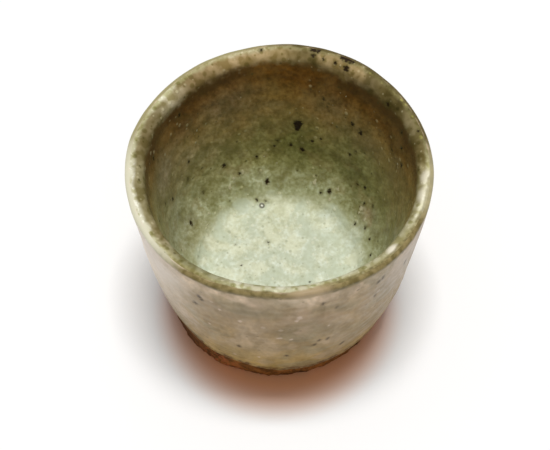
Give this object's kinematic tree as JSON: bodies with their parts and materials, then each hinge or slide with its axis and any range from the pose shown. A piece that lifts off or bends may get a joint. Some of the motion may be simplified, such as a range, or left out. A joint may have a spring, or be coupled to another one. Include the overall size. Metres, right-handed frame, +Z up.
{
  "type": "soba choko cup",
  "caption": "Hand-thrown stoneware cup: a tapering, slightly swelling bowl with a rounded lip, glazed inside and out, standing on a bare turned foot ring.",
  "frame": {"origin": "on the table, on the axis that the cup was thrown on, under the middle of the rim", "axes": "+Z up along the axis the cup was thrown on; -Y is the side that faces the picture's camera, +X its right"},
  "size_m": [0.0798, 0.0798, 0.0626],
  "materials": {
    "bare_clay": "unglazed iron-rich stoneware, dark reddish brown, rough",
    "celadon_lining": "glossy ash glaze, pale grey-green where it pools on the floor, olive to brown up the wall, with iron specks",
    "buff_coat": "satin ash glaze, pinkish buff turning olive and golden towards its lower edge, with pale flecks and specks"
  },
  "bodies": {
    "root": {"stoneware_body": "bare_clay", "inner_glaze": "celadon_lining", "outer_glaze": "buff_coat"}
  },
  "joints": []
}
